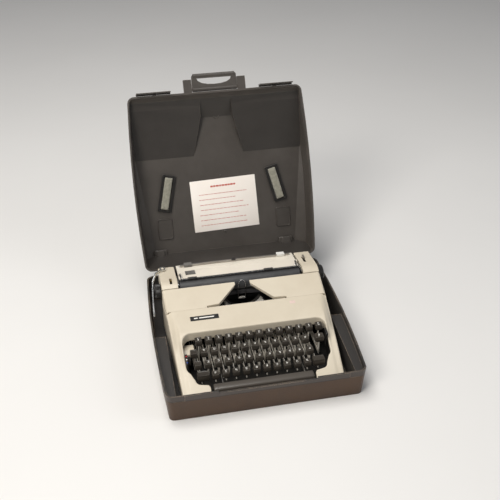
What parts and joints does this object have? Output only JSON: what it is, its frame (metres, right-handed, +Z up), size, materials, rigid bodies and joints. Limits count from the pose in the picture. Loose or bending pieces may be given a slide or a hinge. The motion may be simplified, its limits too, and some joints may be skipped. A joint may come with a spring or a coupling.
{
  "type": "portable typewriter in carrying case",
  "caption": "Portable manual typewriter with cream covers and black keys, standing in an open hard plastic carrying case with a hinged lid.",
  "frame": {"origin": "centre of the case's flat underside", "axes": "+X to the typist's right, +Y to the back, where the lid is hinged, +Z up"},
  "size_m": [0.374, 0.5575, 0.412],
  "materials": {
    "case_plastic": "textured, warm charcoal",
    "felt": "pressed felt",
    "card": "matt card",
    "body_plastic": "fine satin, warm cream",
    "table_paint": "satin enamel",
    "black_paint": "black enamel",
    "nameplate": "gloss black",
    "rubber": "matt",
    "platen_rubber": "ground hard rubber",
    "steel": "zinc plated",
    "chrome": "bright",
    "brass": "aged",
    "ribbon_cloth": "inked cotton",
    "spool_plastic": "grey",
    "clear_plastic": "smoked clear",
    "knob_plastic": "black, ribbed",
    "bail_paint": "dark enamel",
    "stop_grey": "grey",
    "stop_white": "white",
    "key_plastic": "satin black"
  },
  "bodies": {
    "case": {"case_tray": "case_plastic", "hinge_pins": "steel"},
    "lid": {"case_lid": "case_plastic", "lid_pads": "felt", "reference_card": "card"},
    "handle": {"carry_handle": "case_plastic"},
    "latch_left": {"latch_left": "case_plastic"},
    "latch_right": {"latch_right": "case_plastic"},
    "machine": {"base_pan": "black_paint", "body_shell": "body_plastic", "nameplate": "nameplate", "rubber_feet": "rubber", "card_holders": "clear_plastic", "carriage_rail": "steel", "ribbon": "ribbon_cloth"},
    "ribbon_cover": {"ribbon_cover": "body_plastic"},
    "type_basket": {"segment": "black_paint", "typebars": "steel"},
    "typebar_h": {"typebar_h": "steel"},
    "ribbon_vibrator": {"ribbon_vibrator": "steel"},
    "ribbon_spool_left": {"ribbon_spool_left": "spool_plastic"},
    "ribbon_spool_right": {"ribbon_spool_right": "spool_plastic"},
    "spring_drum": {"spring_drum": "brass"},
    "colour_selector": {"colour_selector": "knob_plastic"},
    "carriage": {"carriage_frame": "steel", "end_cover_left": "body_plastic", "end_cover_right": "body_plastic", "paper_table": "table_paint", "margin_rail": "steel"},
    "platen": {"platen": "platen_rubber", "platen_knob_left": "knob_plastic", "platen_knob_right": "knob_plastic"},
    "feed_rollers": {"feed_rollers": "rubber"},
    "paper_bail": {"paper_bail": "bail_paint"},
    "margin_stop_left": {"margin_stop_left": "stop_grey"},
    "margin_stop_right": {"margin_stop_right": "stop_white"},
    "paper_guide": {"paper_guide": "stop_grey"},
    "line_space_lever": {"line_space_lever": "brass"},
    "paper_release_lever": {"paper_release_lever": "steel"},
    "return_lever": {"return_lever": "chrome"},
    "space_bar": {"space_bar": "key_plastic"},
    "shift_left": {"shift_left": "key_plastic"},
    "shift_right": {"shift_right": "key_plastic"},
    "shift_lock": {"shift_lock": "key_plastic"},
    "backspace_key": {"backspace_key": "key_plastic"},
    "tab_key": {"tab_key": "key_plastic"},
    "number_keys": {"number_keys": "key_plastic"},
    "upper_letter_keys": {"upper_letter_keys": "key_plastic"},
    "lower_letter_keys": {"lower_letter_keys": "key_plastic"},
    "home_key_01": {"home_key_01": "key_plastic"},
    "home_key_02": {"home_key_02": "key_plastic"},
    "home_key_03": {"home_key_03": "key_plastic"},
    "home_key_04": {"home_key_04": "key_plastic"},
    "home_key_05": {"home_key_05": "key_plastic"},
    "home_key_06": {"home_key_06": "key_plastic"},
    "home_key_07": {"home_key_07": "key_plastic"},
    "home_key_08": {"home_key_08": "key_plastic"},
    "home_key_09": {"home_key_09": "key_plastic"},
    "home_key_10": {"home_key_10": "key_plastic"},
    "home_key_11": {"home_key_11": "key_plastic"}
  },
  "joints": [
    {"name": "lid_hinge", "type": "hinge", "parent": "case", "child": "lid", "pos_m": [0, 0.1828, 0.0631], "axis": [1, 0, 0], "range_deg": [0, 118.6]},
    {"name": "handle_pivot", "type": "hinge", "parent": "lid", "child": "handle", "pos_m": [0, 0.36104, 0.38312], "axis": [-1, 0, 0], "range_deg": [0, 75]},
    {"name": "latch_left_pivot", "type": "hinge", "parent": "lid", "child": "latch_left", "pos_m": [0, 0.35842, 0.3825], "axis": [-1, 0, 0], "range_deg": [0, 90]},
    {"name": "latch_right_pivot", "type": "hinge", "parent": "lid", "child": "latch_right", "pos_m": [0, 0.35842, 0.3825], "axis": [-1, 0, 0], "range_deg": [0, 90]},
    {"name": "machine_lift", "type": "slide", "parent": "case", "child": "machine", "axis": [0, 0, 1], "range_m": [0, 0.2]},
    {"name": "cover_hinge", "type": "hinge", "parent": "machine", "child": "ribbon_cover", "pos_m": [0, 0.0171, 0.0894], "axis": [1, 0, 0], "range_deg": [0, 75]},
    {"name": "basket_shift", "type": "slide", "parent": "machine", "child": "type_basket", "axis": [0, 0, -1], "range_m": [0, 0.006]},
    {"name": "typebar_h_pivot", "type": "hinge", "parent": "type_basket", "child": "typebar_h", "pos_m": [0, 0.05909, 0.04447], "axis": [-1, 0, 0], "range_deg": [0, 91]},
    {"name": "ribbon_lift", "type": "slide", "parent": "machine", "child": "ribbon_vibrator", "axis": [0, 0, 1], "range_m": [0, 0.0082]},
    {"name": "spool_left_spin", "type": "hinge", "parent": "machine", "child": "ribbon_spool_left", "pos_m": [-0.1, 0.045, 0.066], "axis": [0, 0, 1], "continuous": true},
    {"name": "spool_right_spin", "type": "hinge", "parent": "machine", "child": "ribbon_spool_right", "pos_m": [0.1, 0.045, 0.066], "axis": [0, 0, 1], "continuous": true},
    {"name": "spring_drum_spin", "type": "hinge", "parent": "machine", "child": "spring_drum", "pos_m": [-0.108, 0.122, 0.02], "axis": [0, 0, 1], "range_deg": [-455, 60]},
    {"name": "ribbon_colour", "type": "slide", "parent": "machine", "child": "colour_selector", "axis": [0, 1, 0], "range_m": [-0.004, 0.004]},
    {"name": "carriage_slide", "type": "slide", "parent": "machine", "child": "carriage", "axis": [1, 0, 0], "range_m": [-0.11, 0.014]},
    {"name": "platen_turn", "type": "hinge", "parent": "carriage", "child": "platen", "pos_m": [0, 0.092, 0.0845], "axis": [1, 0, 0], "continuous": true},
    {"name": "feed_roller_turn", "type": "hinge", "parent": "carriage", "child": "feed_rollers", "pos_m": [0, 0.1054, 0.0686], "axis": [1, 0, 0], "continuous": true},
    {"name": "bail_lift", "type": "hinge", "parent": "carriage", "child": "paper_bail", "pos_m": [0, 0.112, 0.1046], "axis": [-1, 0, 0], "range_deg": [0, 60]},
    {"name": "margin_left_slide", "type": "slide", "parent": "carriage", "child": "margin_stop_left", "axis": [1, 0, 0], "range_m": [0, 0.06]},
    {"name": "margin_right_slide", "type": "slide", "parent": "carriage", "child": "margin_stop_right", "axis": [-1, 0, 0], "range_m": [0, 0.06]},
    {"name": "paper_guide_slide", "type": "slide", "parent": "carriage", "child": "paper_guide", "axis": [1, 0, 0], "range_m": [0, 0.03]},
    {"name": "line_space_set", "type": "slide", "parent": "carriage", "child": "line_space_lever", "axis": [0, 1, 0], "range_m": [-0.004, 0.004]},
    {"name": "paper_release", "type": "slide", "parent": "carriage", "child": "paper_release_lever", "axis": [0, -1, 0], "range_m": [0, 0.008]},
    {"name": "return_lever_swing", "type": "hinge", "parent": "carriage", "child": "return_lever", "pos_m": [-0.149, 0.143, 0.1], "axis": [0, 0, -1], "range_deg": [0, 50]},
    {"name": "space_bar_press", "type": "hinge", "parent": "machine", "child": "space_bar", "pos_m": [0, 0.088, 0.026], "axis": [1, 0, 0], "range_deg": [0, 2], "stiffness_Nm_per_rad": 3, "springref_deg": -2.86},
    {"name": "shift_left_press", "type": "hinge", "parent": "machine", "child": "shift_left", "pos_m": [0, 0.088, 0.026], "axis": [1, 0, 0], "range_deg": [0, 3.11], "stiffness_Nm_per_rad": 1.5, "springref_deg": -2.86},
    {"name": "shift_right_press", "type": "hinge", "parent": "machine", "child": "shift_right", "pos_m": [0, 0.088, 0.026], "axis": [1, 0, 0], "range_deg": [0, 3.11], "stiffness_Nm_per_rad": 1.5, "springref_deg": -2.86},
    {"name": "shift_lock_press", "type": "hinge", "parent": "machine", "child": "shift_lock", "pos_m": [0, 0.088, 0.026], "axis": [1, 0, 0], "range_deg": [0, 3.43], "stiffness_Nm_per_rad": 1.5, "springref_deg": -2.86},
    {"name": "backspace_key_press", "type": "hinge", "parent": "machine", "child": "backspace_key", "pos_m": [0, 0.088, 0.026], "axis": [1, 0, 0], "range_deg": [0, 3.82], "stiffness_Nm_per_rad": 1.5, "springref_deg": -2.86},
    {"name": "tab_key_press", "type": "hinge", "parent": "machine", "child": "tab_key", "pos_m": [0, 0.088, 0.026], "axis": [1, 0, 0], "range_deg": [0, 3.82], "stiffness_Nm_per_rad": 1.5, "springref_deg": -2.86},
    {"name": "number_keys_press", "type": "hinge", "parent": "machine", "child": "number_keys", "pos_m": [0, 0.088, 0.026], "axis": [1, 0, 0], "range_deg": [0, 4.32], "stiffness_Nm_per_rad": 8, "springref_deg": -2.86},
    {"name": "upper_letter_keys_press", "type": "hinge", "parent": "machine", "child": "upper_letter_keys", "pos_m": [0, 0.088, 0.026], "axis": [1, 0, 0], "range_deg": [0, 3.82], "stiffness_Nm_per_rad": 8, "springref_deg": -2.86},
    {"name": "lower_letter_keys_press", "type": "hinge", "parent": "machine", "child": "lower_letter_keys", "pos_m": [0, 0.088, 0.026], "axis": [1, 0, 0], "range_deg": [0, 3.11], "stiffness_Nm_per_rad": 8, "springref_deg": -2.86},
    {"name": "home_key_01_press", "type": "hinge", "parent": "machine", "child": "home_key_01", "pos_m": [0, 0.088, 0.026], "axis": [1, 0, 0], "range_deg": [0, 3.43], "stiffness_Nm_per_rad": 1.5, "springref_deg": -2.86},
    {"name": "home_key_02_press", "type": "hinge", "parent": "machine", "child": "home_key_02", "pos_m": [0, 0.088, 0.026], "axis": [1, 0, 0], "range_deg": [0, 3.43], "stiffness_Nm_per_rad": 1.5, "springref_deg": -2.86},
    {"name": "home_key_03_press", "type": "hinge", "parent": "machine", "child": "home_key_03", "pos_m": [0, 0.088, 0.026], "axis": [1, 0, 0], "range_deg": [0, 3.43], "stiffness_Nm_per_rad": 1.5, "springref_deg": -2.86},
    {"name": "home_key_04_press", "type": "hinge", "parent": "machine", "child": "home_key_04", "pos_m": [0, 0.088, 0.026], "axis": [1, 0, 0], "range_deg": [0, 3.43], "stiffness_Nm_per_rad": 1.5, "springref_deg": -2.86},
    {"name": "home_key_05_press", "type": "hinge", "parent": "machine", "child": "home_key_05", "pos_m": [0, 0.088, 0.026], "axis": [1, 0, 0], "range_deg": [0, 3.43], "stiffness_Nm_per_rad": 1.5, "springref_deg": -2.86},
    {"name": "home_key_06_press", "type": "hinge", "parent": "machine", "child": "home_key_06", "pos_m": [0, 0.088, 0.026], "axis": [1, 0, 0], "range_deg": [0, 3.43], "stiffness_Nm_per_rad": 1.5, "springref_deg": -2.86},
    {"name": "home_key_07_press", "type": "hinge", "parent": "machine", "child": "home_key_07", "pos_m": [0, 0.088, 0.026], "axis": [1, 0, 0], "range_deg": [0, 3.43], "stiffness_Nm_per_rad": 1.5, "springref_deg": -2.86},
    {"name": "home_key_08_press", "type": "hinge", "parent": "machine", "child": "home_key_08", "pos_m": [0, 0.088, 0.026], "axis": [1, 0, 0], "range_deg": [0, 3.43], "stiffness_Nm_per_rad": 1.5, "springref_deg": -2.86},
    {"name": "home_key_09_press", "type": "hinge", "parent": "machine", "child": "home_key_09", "pos_m": [0, 0.088, 0.026], "axis": [1, 0, 0], "range_deg": [0, 3.43], "stiffness_Nm_per_rad": 1.5, "springref_deg": -2.86},
    {"name": "home_key_10_press", "type": "hinge", "parent": "machine", "child": "home_key_10", "pos_m": [0, 0.088, 0.026], "axis": [1, 0, 0], "range_deg": [0, 3.43], "stiffness_Nm_per_rad": 1.5, "springref_deg": -2.86},
    {"name": "home_key_11_press", "type": "hinge", "parent": "machine", "child": "home_key_11", "pos_m": [0, 0.088, 0.026], "axis": [1, 0, 0], "range_deg": [0, 3.43], "stiffness_Nm_per_rad": 1.5, "springref_deg": -2.86}
  ],
  "couplings": [
    {"joint": "typebar_h_pivot", "follows": "home_key_06_press", "ratio": 26.239},
    {"joint": "ribbon_lift", "follows": "home_key_06_press", "m_per_rad": 0.13363},
    {"joint": "shift_right_press", "follows": "shift_left_press", "ratio": 1},
    {"joint": "basket_shift", "follows": "shift_left_press", "m_per_rad": 0.10685},
    {"joint": "spool_right_spin", "follows": "spool_left_spin", "ratio": 1},
    {"joint": "spring_drum_spin", "follows": "carriage_slide", "rad_per_m": 71.429},
    {"joint": "feed_roller_turn", "follows": "platen_turn", "ratio": -3.5556}
  ]
}
